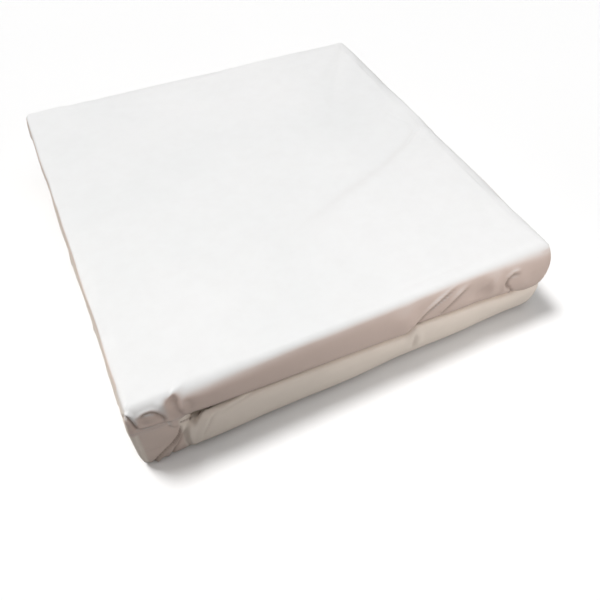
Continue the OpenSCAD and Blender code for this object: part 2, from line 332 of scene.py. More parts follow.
side_points = loops(side_out[1:], side_radius[1:], side_z[1:])
lip_points = loops(lip_out, lip_radius, lip_z)
low_points = loops(low_out, low_radius, low_z)
bottom_radius = np.repeat(low_radius[-1:], len(bottom_out), 0)
bottom_points = loops(bottom_out, bottom_radius, np.full(bottom_out.shape, 0.4 * MM))

T = len(top_points)
side_base = T
lip_base = side_base + (SIDE_ROWS - 1) * COLS
low_base = lip_base + (LIP_ROWS - 1) * COLS
bottom_base = low_base + LOW_ROWS * COLS
blocks = (top_points, side_points, lip_points, low_points, bottom_points)
skin = np.concatenate([block.reshape(-1, 3) for block in blocks])


def side_row(k):
    return rim_ids if k == 0 else side_base + (k - 1) * COLS + np.arange(COLS)


def lip_row(k):
    return side_row(SIDE_ROWS - 1) if k == 0 else lip_base + (k - 1) * COLS + np.arange(COLS)


# where the cover has no zip, the lower half starts on the last row of the upper one
is_plain = (flat_x <= ZIP_X + 1e-6) & (on_front | on_back) | on_left


def low_row(k):
    ids = low_base + k * COLS + np.arange(COLS)
    return np.where(is_plain, side_row(SIDE_ROWS - 1), ids) if k == 0 else ids


def strip(over, under, use):
    """Faces between two rows, for the columns in use and their next ones."""
    c = np.nonzero(use)[0]
    n = (c + 1) % COLS
    return np.stack([over[c], under[c], under[n], over[n]], 1)


def pairs(flags):
    return flags & np.roll(flags, -1)


zip_cols = pairs(((flat_x >= ZIP_X - 1e-6) & (on_front | on_back)) | on_right)
plain_cols = ~zip_cols
run = (flat_x >= ZIP_X - 1e-6) & (flat_x <= FLAP_X + 1e-6)
flap_cols = {
    "flap_front": pairs(on_front & run),
    "flap_right": pairs(on_right & (np.abs(flat_y) <= FLAP_Y + 1e-6)),
    "flap_back": pairs(on_back & run),
}
fixed_cols = zip_cols & ~np.any(list(flap_cols.values()), 0)

ROOT_ROW = int(np.argmin(np.abs(np.median(side_z[:, flap_cols["flap_front"]], 1) - FOLD)))
EDGE_ROW = int(np.argmin(np.abs(np.median(side_z[:, plain_cols], 1) - 0.164)))
FOOT_ROW = int(np.argmin(np.abs(np.median(low_z[:, plain_cols], 1) - FOOT)))

i, j = np.meshgrid(np.arange(NX - 1), np.arange(NY - 1), indexing="ij")
i, j = i.ravel(), j.ravel()
panel_faces = np.stack([i * NY + j, (i + 1) * NY + j, (i + 1) * NY + j + 1, i * NY + j + 1], 1)

parts = {name: [] for name in ("cover_top", "cover_spine", "cover_base", *flap_cols)}
for k in range(SIDE_ROWS - 1):
    over, under = side_row(k), side_row(k + 1)
    parts["cover_top"].append(strip(over, under, zip_cols & (fixed_cols | (k < ROOT_ROW))))
    parts["cover_top" if k < EDGE_ROW else "cover_spine"].append(strip(over, under, plain_cols))
    for name, columns in flap_cols.items():
        if k >= ROOT_ROW:
            parts[name].append(strip(over, under, columns))
for k in range(LIP_ROWS - 1):
    over, under = lip_row(k), lip_row(k + 1)
    parts["cover_top"].append(strip(over, under, fixed_cols))
    for name, columns in flap_cols.items():
        parts[name].append(strip(over, under, columns))
for k in range(LOW_ROWS - 1):
    over, under = low_row(k), low_row(k + 1)
    parts["cover_base"].append(strip(over, under, zip_cols))
    parts["cover_spine" if k < FOOT_ROW else "cover_base"].append(strip(over, under, plain_cols))
last = low_row(LOW_ROWS - 1)
for k in range(len(bottom_out)):
    inner = bottom_base + k * COLS + np.arange(COLS)
    parts["cover_base"].append(strip(last, inner, np.ones(COLS, bool)))
    last = inner
parts = {name: np.concatenate(faces) for name, faces in parts.items()}
all_faces = np.concatenate([panel_faces] + list(parts.values()))


def smooth_normals(points, faces):
    a, b, c, d = (points[faces[:, k]] for k in range(4))
    n = np.cross(c - a, d - b)
    total = np.zeros_like(points)
    for k in range(4):
        np.add.at(total, faces[:, k], n)
    return total / np.maximum(np.linalg.norm(total, axis=1, keepdims=True), 1e-12)


# ---------------------------------------------------------------- cloth simulation away from the front
CLOTH_FRAMES = 20
CLOTH_PRESSURE = 0.01
WALL_SLACK, TOP_SLACK = 0.003, 0.0
UPPER_CAP, LOWER_CAP, TOP_CAP = 5 * MM, 4 * MM, 2 * MM      # how far a point may move
EVENED = 13                                                 # columns over which the movement is evened out


def coarse(count):
    return np.unique(np.append(np.arange(0, count, 2), count - 1))


def fill_in(values, at, count):
    """Rows of vectors known at some places, and filled in between them up to count."""
    return np.stack([np.interp(np.arange(count), at, values[:, k]) for k in range(3)], 1)


def billow(points, round_about, slack, cap):
    """How far each point of a sheet moves when it swells and buckles as cloth held at its rim.
    Every other row and column is simulated, and the ones between follow."""
    rows, cols = points.shape[:2]
    r_at, c_at = coarse(rows), np.arange(0, cols, 2) if round_about else coarse(cols)
    few = points[np.ix_(r_at, c_at)]
    nr, nc = few.shape[:2]
    held = np.zeros((nr, nc), bool)
    held[[0, -1]] = True
    if not round_about:
        held[:, [0, -1]] = True
    r, c = np.meshgrid(np.arange(nr - 1), np.arange(nc if round_about else nc - 1), indexing="ij")
    r, c = r.ravel(), c.ravel()
    n = (c + 1) % nc
    faces = np.stack([r * nc + c, (r + 1) * nc + c, (r + 1) * nc + n, r * nc + n], 1)
    mesh = bpy.data.meshes.new("billow")
    mesh.from_pydata(few.reshape(-1, 3).tolist(), [], faces.tolist())
    sheet = put("billow", mesh)
    sheet.vertex_groups.new(name="held").add(np.nonzero(held.ravel())[0].tolist(), 1.0, "REPLACE")
    cloth = sheet.modifiers.new("cloth", "CLOTH")
    rule = cloth.settings
    rule.quality, rule.mass = 6, 0.25
    rule.tension_stiffness = rule.compression_stiffness = 14
    rule.shear_stiffness, rule.bending_stiffness = 6, 0.6
    rule.vertex_group_mass = "held"
    rule.use_pressure, rule.uniform_pressure_force = True, CLOTH_PRESSURE
    rule.shrink_min = -slack
    rule.effector_weights.gravity = 0
    cloth.collision_settings.use_collision = False
    cloth.point_cache.frame_start, cloth.point_cache.frame_end = 1, CLOTH_FRAMES
    for at_frame in range(1, CLOTH_FRAMES + 1):
        scene.frame_set(at_frame)
    settled = sheet.evaluated_get(bpy.context.evaluated_depsgraph_get()).data
    place = np.zeros(len(mesh.vertices) * 3)
    settled.vertices.foreach_get("co", place)
    moved = place.reshape(few.shape) - few
    scene.frame_set(1)
    bpy.data.objects.remove(sheet)
    bpy.data.meshes.remove(mesh)
    if round_about:
        moved = np.concatenate([moved, moved[:, :1]], 1)
        c_at = np.append(c_at, cols)
    across = np.stack([fill_in(line, c_at, cols) for line in moved])
    full = np.stack([fill_in(across[:, j], r_at, rows) for j in range(cols)], 1)
    if round_about:
        # evens out the steps between neighbouring columns, which would show as fine streaks
        full = np.stack([np.stack([soften(line[:, k], EVENED) for k in range(3)], 1) for line in full])
    size = np.linalg.norm(full, axis=2, keepdims=True)
    return full * cap * np.tanh(size / cap) / np.maximum(size, 1e-9)


# how far round from the front each column is: 0 on the front, 1 along the other sides
calm = np.where(on_front, 0.0, np.where(on_back, 1.0, ease((flat_y + HY - 0.03) / 0.10)))
calm = soften(calm, 9)
sway = calm * np.where(on_left, 0.5, 1.0)
side_ids = np.array([side_row(k) for k in range(SIDE_ROWS)])
skin[side_ids] += sway[None, :, None] * billow(skin[side_ids], True, WALL_SLACK, UPPER_CAP)
low_ids = np.array([low_row(k) for k in range(LOW_ROWS)])
shown = mix(1.0, ease((hem - 4 * MM - skin[low_ids, 2]) / (14 * MM)), zipped)
skin[low_ids] += (sway[None, :] * shown)[:, :, None] * billow(skin[low_ids], True, WALL_SLACK, LOWER_CAP)
panel_ids = np.arange(T).reshape(NX, NY)
skin[panel_ids] += billow(skin[panel_ids], False, TOP_SLACK, TOP_CAP)

# ---------------------------------------------------------------- folds, creases and lumps
normals = smooth_normals(skin, all_faces)
shift = np.zeros(len(skin))
painted_crease_shade = np.zeros(len(skin))      # how much painted shade each point gets in a crease, for the materials

upper = np.zeros(len(skin), bool)
upper[:lip_base] = True
lower = np.zeros(len(skin), bool)
lower[low_base:bottom_base] = True
near_front = skin[:, 1] < FRONT + 0.05

# the front seen from above and in front: a fold drawn across the bulges keeps its line from there
SLANT = 1.55
stand = FRONT - skin[:, 1]
drawn = np.stack([skin[:, 0] + SLANT * stand * (skin[:, 0] + 0.39), skin[:, 2] - SLANT * stand], 1) * 1000


def along(q, path):
    """Distance from each point to the path, on which side of it the point is, and how far along it is."""
    path = np.array(path, float)
    lengths = np.linalg.norm(np.diff(path, axis=0), axis=1)
    before = np.concatenate([[0], np.cumsum(lengths)])
    best = np.full(len(q), 1e9)
    side, share = np.ones(len(q)), np.zeros(len(q))
    for k in range(len(lengths)):
        d = (path[k + 1] - path[k]) / lengths[k]
        rel = q - path[k]
        t = np.clip(rel @ d, 0, lengths[k])
        off = rel - t[:, None] * d
        distance = np.linalg.norm(off, axis=1)
        closer = distance < best
        best = np.where(closer, distance, best)
        side = np.where(closer, np.sign(d[0] * rel[:, 1] - d[1] * rel[:, 0]), side)
        share = np.where(closer, (before[k] + t) / before[-1], share)
    return best, side, share


def fade_in(share, length):
    return ease(share / length if length else np.ones_like(share))


def crease(where, q, path, depth, width, puff=0.0, taper=(0.25, 0.35), dark=1.0):
    """A sharp valley along the path, with the fabric puffed up on its left, or its right if puff is negative; dark
    sets how much painted shade the valley gets.
    """
    ids = np.nonzero(where)[0]
    distance, side, share = along(q[ids], path)
    fade = fade_in(share, taper[0]) * fade_in(1 - share, taper[1])
    valley = np.exp(-((distance / width) ** 1.4))
    beside = distance * side * np.sign(puff if puff else 1)
    swell = np.exp(-(((beside - 2.2 * width) / (1.7 * width)) ** 2))
    shift[ids] += MM * fade * (abs(puff) * swell - depth * valley)
    painted_crease_shade[ids] += dark * fade * valley * min(1.0, depth / 3.6)


def lump(where, q, middle, size, height):
    ids = np.nonzero(where)[0]
    off = (q[ids] - np.array(middle, float)) / np.array(size, float)
    shift[ids] += MM * height * np.exp(-(off ** 2).sum(1))


front_up = upper & near_front
front_low_part = lower & near_front

# the loose corner by the parked zip: the hem runs on as a sharp crease to the tip of the corner,
# and the fabric over it hangs in two scallops
front_any = front_up | front_low_part
on_top = np.zeros(len(skin), bool)
on_top[:side_base + 12 * COLS] = True
plan = skin[:, :2] * 1000
up_fold, up_lump = partial(crease, front_up, drawn), partial(lump, front_up, drawn)
low_fold, low_lump = partial(crease, front_low_part, drawn), partial(lump, front_low_part, drawn)
top_fold = partial(crease, on_top, plan)
EAR = [(-446, 182), (-439, 165), (-436, 147), (-433, 125)]
SCALLOP = [(-424, 148), (-415, 157), (-405, 157), (-396, 149), (-389, 136), (-385, 117)]
corner_hem = EAR + [(-416, 119), (-400, 118), (-386, 113), (-374, 106)]
crease(front_any, drawn, corner_hem, 4.6, 2.4, 3.0, (0.03, 0.06), 0.95)
up_fold(SCALLOP, 3.6, 3.0, 2.2, (0.12, 0.1), 1.0)
up_lump((-405, 137), (13, 11), 3.0)
up_lump((-366, 161), (9, 13), -3.6)
up_lump((-385, 162), (8, 16), 3.0)
up_lump((-357, 128), (15, 15), 1.5)
up_fold([(-350, 157), (-337, 143), (-334, 132), (-339, 119)], 1.1, 7.0, -0.4, (0.35, 0.1), 1.0)
# the zip stands a little open at its parked end, and its opening is painted dark as shade
low_fold([(-362, 93), (-352, 94), (-337, 94), (-325, 99), (-316, 104), (-301, 108)],
         3.2, 1.6, -1.2, (0.02, 0.1), 2.4)
low_fold([(-326, 99), (-314, 104), (-298, 108)], 3.6, 1.8, 0.0, (0.3, 0.3), 2.8)
low_lump((-350, 102), (12, 5), 2.0)
low_fold([(-383, 105), (-382, 95), (-374, 86), (-366, 85)], 2.6, 2.4, 1.5, (0.1, 0.2), 0.7)
# pulled folds of the lower part, from the end of the zip down to the corner
low_fold([(-362, 90), (-364, 78), (-371, 58), (-384, 40), (-398, 29), (-417, 14), (-438, -6)],
         4.4, 1.9, 3.8, (0.2, 0.02), 1.2)
low_fold([(-358, 70), (-370, 45), (-377, 32), (-388, 14), (-402, -8)], 4.8, 2.3, -1.8, (0.25, 0.05), 1.1)
low_lump((-357, 48), (9, 26), -2.2)
low_fold([(-290, 84), (-306, 69), (-318, 46), (-328, 27), (-335, 8)], 2.6, 3.6, -3.2, (0.35, 0.3), 0.45)
low_fold([(-214, 103), (-236, 88), (-256, 80), (-280, 72), (-300, 60)], 1.8, 5.5, -1.8, (0.3, 0.4), 0.35)
low_fold([(-436, 48), (-420, 46), (-400, 41)], 1.4, 3.0, 1.0, (0.1, 0.4), 0.5)
low_fold([(-433, 125), (-436, 106), (-439, 84), (-439, 44), (-434, 0)], 1.2, 2.2, -1.0, (0.0, 0.1), 0.4)
low_lump((-405, 78), (24, 22), 2.0)
low_fold([(133, 62), (130, 40), (126, 14)], 2.2, 4.5, 1.6, (0.25, 0.3), 0.3)
low_lump((146, 36), (9, 16), 1.6)
# folds that run up from the tuck under the hem
up_fold([(122, 88), (130, 97), (145, 111), (171, 129), (198, 147), (226, 164)],
        5.6, 3.4, 3.2, (0.02, 0.45), 1.7)
up_fold([(186, 92), (208, 109), (231, 129), (258, 152)], 4.6, 3.8, 2.8, (0.1, 0.4), 1.5)
up_lump((278, 112), (24, 22), -6.5)
up_lump((318, 118), (14, 26), 5.0)
up_lump((100, 112), (26, 30), 4.0)
up_fold([(262, 99), (288, 108), (309, 134), (326, 152)], 1.4, 6.0, 0.8, (0.25, 0.4), 0.4)
# the curl at the end of the front flap
up_fold([(392, 124), (384, 122), (368, 126), (356, 118), (352, 106), (357, 94), (369, 84)],
        5.4, 3.4, -2.6, (0.35, 0.1), 1.6)
up_fold([(372, 66), (373, 76), (364, 88)], 3.2, 2.4, 1.5, (0.0, 0.3), 1.6)
up_lump((347, 84), (8, 7), 2.5)
up_lump((396, 92), (22, 26), 4.5)
# along the front edge, where the fabric rolls over
up_fold([(40, 226), (150, 229), (255, 228)], 0.9, 9.0, 0.5, (0.3, 0.3), 0.1)

# the lying surface: long low folds from the back right corner and off the right edge
top_fold([(440, 462), (330, 290), (225, 120), (150, -30)], 1.1, 15, 1.1, (0.02, 0.6), 0.06)
top_fold([(432, 440), (345, 345), (257, 236)], 1.0, 12, -0.9, (0.05, 0.5), 0.06)
top_fold([(432, 455), (250, 350), (30, 168)], 0.8, 16, 0.8, (0.05, 0.5), 0.05)
top_fold([(420, 462), (165, 415), (-12, 262)], 0.7, 15, 0.7, (0.05, 0.5), 0.05)
top_fold([(436, 20), (360, -42), (260, -98), (120, -150), (-130, -262)], 2.2, 10, 1.9, (0.05, 0.55), 0.16)
top_fold([(300, -95), (171, -146), (20, -215), (-120, -292)], 1.0, 13, 1.2, (0.3, 0.4), 0.05)
top_fold([(440, -285), (390, -300), (362, -405)], 0.9, 12, 0.7, (0.05, 0.4), 0.05)
top_fold([(-430, 455), (-330, 330), (-300, 200)], 0.5, 18, 0.5, (0.05, 0.5), 0.03)
top_fold([(-432, -455), (-300, -400), (-180, -380)], 0.7, 14, 0.7, (0.05, 0.5), 0.05)

# folds in the sides away from the front, from the corners and under the hem
beyond = (skin[:, 1] > FRONT + 0.06) | (skin[:, 0] > HX - 0.02)
row_counts = (SIDE_ROWS - 1, LIP_ROWS - 1, LOW_ROWS, len(bottom_out))
turn_of = np.concatenate([np.zeros(T)] + [np.tile(AROUND, n) for n in row_counts])
rolled = np.stack([turn_of, skin[:, 2]], 1) * 1000
side_up, side_low = upper & beyond & (skin[:, 2] < TOP - 0.012), lower & beyond
random = np.random.default_rng(77)
for mark in np.arange(2 * HX + 0.10, GIRTH - 0.05, 0.17) * 1000:
    u = mark + random.uniform(-50, 50)
    lean = random.uniform(-60, 60)
    size = random.uniform(0.6, 1.6)
    reach = random.uniform(0.5, 1.0)
    path = [(u, 88), (u + lean * 0.3, 88 + 35 * reach), (u + lean * 1.2, 88 + 80 * reach)]
    crease(side_up, rolled, path, 2.2 * size, 5.5, 1.4 * size, (0.05, 0.7), 0.8)
    u += random.uniform(-60, 60)
    path = [(u, 90), (u - lean * 0.5, 90 - 40 * reach), (u - lean * 1.3, 90 - 80 * reach)]
    crease(side_low, rolled, path, 2.0 * size, 6.0, -1.3 * size, (0.1, 0.6), 0.8)

sides = side_up | side_low
shift[sides] += 1.5 * MM * noise_3d(skin[sides], 0.30, 43, 2)
shift[upper] += 0.35 * MM * noise_3d(skin[upper], 0.11, 41, 2) * ease((TOP + 0.001 - skin[upper, 2]) / 0.02)
shift[lower] += 0.8 * MM * noise_3d(skin[lower], 0.11, 42, 2)
skin = skin + shift[:, None] * normals
# the turned-in side of the hem goes with the hem
hem_shift = shift[side_row(SIDE_ROWS - 1)][:, None] * normals[side_row(SIDE_ROWS - 1)]
hem_shift[:, 2] *= 0.5
for k in range(1, LIP_ROWS):
    skin[lip_base + (k - 1) * COLS + np.arange(COLS)] += hem_shift * (1 - k / LIP_ROWS) ** 0.5
skin[low_base:, 2] = np.maximum(skin[low_base:, 2], 0.2 * MM)
normals = smooth_normals(skin, all_faces)

# ---------------------------------------------------------------- where each point lies in its fabric
# u runs round the cover and v down its side from the hem, in metres; on the lying surface they are x and y
rows = np.concatenate([side_points.reshape(-1, COLS, 3), lip_points, low_points, bottom_points])
gap = np.linalg.norm(np.diff(rows, axis=0), axis=2)
down = np.concatenate([np.zeros((1, COLS)), np.cumsum(gap, 0)])
down -= down[SIDE_ROWS - 2][None, :]
uv_v = np.concatenate([np.full(T, 0.0), down.ravel()])
uv_v[rim_ids] = down[0] - 2 * MM
uv_u = turn_of.copy()
uv_u[rim_ids] = AROUND

# how far each point takes the side colouring, darker and warmer than the lying surface: painted shade, set by how
# far the surface turns away from facing up
side_shade_share = np.ones(len(skin))
side_shade_share[:T] = 0.0
for k in range(SIDE_ROWS):
    tilt = 1 - normals[side_row(k), 2]
    tilt = mix(tilt, soften(tilt, 61), calm)
    side_shade_share[side_row(k)] = ease((tilt - 0.14) / 0.62)
beyond_arc, arc_side, _ = along(drawn, SCALLOP)
beyond_ear, ear_side, _ = along(drawn, EAR)
near_corner = (
    ease((-374 - drawn[:, 0]) / 14) * ease((beyond_arc * arc_side + 2) / 20) * ease((beyond_ear * ear_side + 2) / 6)
)
side_shade_share *= 1 - 0.85 * near_corner * near_front
low_share = np.zeros(len(skin))
low_share[low_base:] = 1.0
for k in range(SIDE_ROWS):
    over = skin[side_row(k), 2] - (hem + 2 * MM)
    low_share[side_row(k)] = np.where(on_left, ease((k - 12) / 12), ease(-over / (4 * MM)) * (1 - zipped))
# the front of the loose corner is the same fabric as the upper side
corner_front = near_front * ease((drawn[:, 0] + 437) / 4) * ease((-362 - drawn[:, 0]) / 6)
low_share *= 1 - 0.85 * corner_front
# painted shade: darker within 26 mm over the hem along the zip, and within 30 mm of the floor
soil = np.zeros(len(skin))
for k in range(SIDE_ROWS):
    over = skin[side_row(k), 2] - hem
    soil[side_row(k)] = ease(1 - over / (26 * MM)) * zipped
low_heights = skin[low_base:, 2]
soil[low_base:] = 0.9 * ease(1 - low_heights / (30 * MM)) - 0.35 * ease((low_heights - 60 * MM) / (30 * MM))
# lighter and a little smoother where the side faces about 45 degrees up, and along the last rows of the hem
edge_and_hem_band = np.zeros(len(skin))
for k in range(SIDE_ROWS):
    edge_and_hem_band[side_row(k)] = hump(normals[side_row(k), 2], 0.72, 0.16)
for k in range(SIDE_ROWS - 4, SIDE_ROWS):
    edge_and_hem_band[side_row(k)] = 0.8
painted_crease_shade = np.clip(painted_crease_shade, 0, 1.6)
# what the materials read at each point
marks = {"side": side_shade_share, "low": low_share, "painted_crease_shade": painted_crease_shade, "edge_and_hem_band": edge_and_hem_band, "soil": soil}


# ---------------------------------------------------------------- meshes with a real thickness
def shell(name, faces, thickness, panel=None, caps=()):
    """A closed thin shell: the faces given, a copy of them further in, and a rim.
    The faces of panel have no copy; caps are loops closed by one face, inside only or on both sides."""
    outside = faces if panel is None else np.concatenate([panel, faces])
    used, index = np.unique(outside, return_inverse=True)
    outside = index.reshape(outside.shape)
    lined = outside if panel is None else outside[len(panel):]
    inner_used = np.unique(lined)
    count = len(used)
    inner_of = np.full(count, -1)
    inner_of[inner_used] = count + np.arange(len(inner_used))
    n = normals[used]
    points = np.concatenate([skin[used], skin[used[inner_used]] - n[inner_used] * thickness])
    points[:, 2] = np.maximum(points[:, 2], 0.2 * MM)
    where = {v: k for k, v in enumerate(used.tolist())}
    outer_polygons = outside.tolist()
    inner_polygons = inner_of[lined[:, ::-1]].tolist()
    for loop, both in caps:
        local = [where[v] for v in loop.tolist()]
        if both:
            outer_polygons.append(local[::-1])
            inner_polygons.append([int(inner_of[v]) for v in local])
        else:
            inner_polygons.append([int(inner_of[v]) for v in local[::-1]])
    edges = set()
    for polygon in outer_polygons:
        edges.update(zip(polygon, polygon[1:] + polygon[:1]))
    rim = [[b, a, int(inner_of[a]), int(inner_of[b])] for a, b in edges if (b, a) not in edges]
    polygons = outer_polygons + inner_polygons + sorted(rim)
    mesh = bpy.data.meshes.new(name)
    mesh.from_pydata(points.tolist(), [], polygons)
    mesh.update()
    source = np.concatenate([used, used[inner_used]])
    corner = np.zeros(len(mesh.loops), int)
    mesh.loops.foreach_get("vertex_index", corner)
    owner = source[corner]
    u, v = uv_u[owner].copy(), uv_v[owner].copy()
    starts = np.zeros(len(mesh.polygons), int)
    sizes = np.zeros(len(mesh.polygons), int)
    mesh.polygons.foreach_get("loop_start", starts)
    mesh.polygons.foreach_get("loop_total", sizes)
    face_of = np.repeat(np.arange(len(sizes)), sizes)
    low_u = np.minimum.reduceat(u, starts)[face_of]
    high_u = np.maximum.reduceat(u, starts)[face_of]
    u = np.where((high_u - low_u > GIRTH / 2) & (u < GIRTH / 2), u + GIRTH, u)
    on_panel, on_bottom = np.maximum.reduceat(owner, starts) < T, np.minimum.reduceat(owner, starts) >= bottom_base
    level = (on_panel | on_bottom | (sizes > 4))[face_of]
    u = np.where(level, skin[owner, 0], u)
    v = np.where(level, skin[owner, 1], v)
    layer = mesh.uv_layers.new(name="cloth")
    layer.data.foreach_set("uv", np.stack([u, v], 1).ravel().astype(np.float32))
    for key, values in marks.items():
        attribute = mesh.attributes.new(key, "FLOAT", "POINT")
        attribute.data.foreach_set("value", values[source].astype(np.float32))
    mesh.polygons.foreach_set("use_smooth", np.ones(len(mesh.polygons), bool))
    mesh.normals_split_custom_set_from_vertices(np.concatenate([n, -n[inner_used]]).tolist())
    return put(name, mesh)


THICK = 1.2 * MM
made = {}
for name, faces in parts.items():
    if name == "cover_top":
        made[name] = shell("soft_" + name, faces, THICK, panel_faces, [(rim_ids, False)])
    elif name == "cover_base":
        made[name] = shell("soft_" + name, faces, THICK, None, [(last, True)])
    else:
        made[name] = shell("soft_" + name, faces, THICK)

for name in ("cover_top", "cover_spine", "cover_base"):
    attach(made[name], "mattress")
    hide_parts(name)

folds = {
    "flap_front": ("front_flap", (0, -HY)),
    "flap_right": ("right_flap", (HX, 0)),
    "flap_back": ("back_flap", (0, HY)),
}
for name, (body, (x, y)) in folds.items():
    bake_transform(made[name])
    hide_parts(name)


# ---------------------------------------------------------------- soft pieces under the cover
def cut_along(shape, axis, places):
    normal = Vector([float(k == axis) for k in range(3)])
    for place in places:
        everything = shape.verts[:] + shape.edges[:] + shape.faces[:]
        bmesh.ops.bisect_plane(shape, geom=everything, plane_co=normal * float(place), plane_no=normal)


def softened(node, cell, edge, rounds, wobble, seed):
    """A copy of a CAD node cut into small faces, with its edges rounded off and its surface a little uneven."""
    shape = bmesh.new()
    shape.from_mesh(frame["nodes"][node].data)
    bmesh.ops.remove_doubles(shape, verts=shape.verts[:], dist=1e-6)
    lo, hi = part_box(node)
    for axis in range(3):
        size = hi[axis] - lo[axis]
        count = max(1, round(size / cell))
        places = set(np.round(lo[axis] + size * np.arange(1, count) / count, 6))
        if size > 4 * edge:
            near_edges = (lo[axis] + edge, lo[axis] + 2.2 * edge, hi[axis] - edge, hi[axis] - 2.2 * edge)
            places |= {round(v, 6) for v in near_edges}
        cut_along(shape, axis, sorted(places))
    for _ in range(rounds):
        bmesh.ops.smooth_vert(
            shape, verts=shape.verts[:], factor=0.5, use_axis_x=True, use_axis_y=True, use_axis_z=True
        )
    shape.normal_update()
    points = np.array([v.co for v in shape.verts])
    amount = wobble * noise_3d(points, 0.16, seed, 3)
    for v, a in zip(shape.verts, amount):
        v.co += v.normal * float(a)
    mesh = bpy.data.meshes.new("soft_" + node)
    shape.to_mesh(mesh)
    shape.free()
    mesh.polygons.foreach_set("use_smooth", np.ones(len(mesh.polygons), bool))
    obj = put("soft_" + node, mesh)
    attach(obj, "mattress")
    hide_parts(node)
    return obj


# node: size of a face, distance of the first cut from an edge, rounds of smoothing, unevenness, seed
INNER = {
    "foam_base": (0.030, 0.004, 2, 0.5 * MM, 61),
    "foam_rail_left": (0.030, 0.004, 2, 0.5 * MM, 62),
    "foam_rail_right": (0.030, 0.004, 2, 0.5 * MM, 63),
    "foam_castellated": (0.045, 0.004, 1, 0.3 * MM, 64),
    "foam_visco": (0.026, 0.005, 3, 0.7 * MM, 65),
    "fire_sock": (0.026, 0.006, 1, 0.3 * MM, 66),
    "zip_tape_upper": (0.012, 0.003, 0, 0.12 * MM, 67),
    "zip_tape_lower": (0.012, 0.003, 0, 0.12 * MM, 68),
    "zip_end_patch_front": (0.003, 0.002, 1, 0.1 * MM, 69),
    "zip_end_patch_back": (0.003, 0.002, 1, 0.1 * MM, 70),
}
inner = {node: softened(node, *values) for node, values in INNER.items()}


# ---------------------------------------------------------------- materials
class Nodes:
    """A material's node tree, with short ways to add and join nodes."""

    def __init__(self, name):
        self.material = bpy.data.materials.new(name)
        self.material.use_nodes = True
        self.tree = self.material.node_tree
        self.shader = self.tree.nodes["Principled BSDF"]

    def add(self, kind, **values):
        n = self.tree.nodes.new("ShaderNode" + kind)
        for key, value in values.items():
            if key in n.inputs:
                n.inputs[key].default_value = value
            else:
                setattr(n, key, value)
        return n

    def link(self, a, b):
        self.tree.links.new(a, b)

    def math(self, operation, a, b=None, c=None, clamp=False):
        n = self.add("Math", operation=operation, use_clamp=clamp)
        for slot_, value in enumerate((a, b, c)):
            if value is None:
                continue
            if isinstance(value, (int, float)):
                n.inputs[slot_].default_value = value
            else:
                self.link(value, n.inputs[slot_])
        return n.outputs[0]

    def blend(self, share, a, b):
        n = self.add("Mix", data_type="RGBA")
        for socket, value in ((n.inputs[0], share), (n.inputs[6], a), (n.inputs[7], b)):
            if isinstance(value, tuple):
                socket.default_value = (*value, 1)
            elif isinstance(value, float):
                socket.default_value = value
            else:
                self.link(value, socket)
        return n.outputs[2]

    def ramp(self, share, low, high, dark=0.0, light=1.0):
        n = self.add("MapRange")
        n.inputs["From Min"].default_value, n.inputs["From Max"].default_value = low, high
        n.inputs["To Min"].default_value, n.inputs["To Max"].default_value = dark, light
        self.link(share, n.inputs["Value"])
        return n.outputs[0]

    def finish(self, colour, normal, rough, specular, sheen=None):
        for name, source in (("Base Color", colour), ("Normal", normal), ("Roughness", rough)):
            if source is not None:
                self.link(source, self.shader.inputs[name])
        self.set("Specular IOR Level", specular)
        if sheen:
            self.set("Sheen Weight", sheen[0])
            self.set("Sheen Roughness", sheen[1])
        return self.material

    def set(self, name, value):
        self.shader.inputs[name].default_value = value

    def attribute(self, name):
        return self.add("Attribute", attribute_name=name).outputs["Fac"]

    def noise(self, vector, scale, detail=2.0, roughness=0.5):
        n = self.add("TexNoise", Scale=scale, Detail=detail, Roughness=roughness)
        self.link(vector, n.inputs["Vector"])
        return n.outputs["Fac"]

    def bump(self, height, strength, distance, before=None):
        n = self.add("Bump", Strength=strength, Distance=distance)
        self.link(height, n.inputs["Height"])
        if before is not None:
            self.link(before, n.inputs["Normal"])
        return n.outputs["Normal"]


WALE, COURSE = 0.9 * MM, 0.7 * MM       # spacing of the loops of the knit, across and along
SEAM_UP = 6.2 * MM                      # height of the row of stitches over the hem


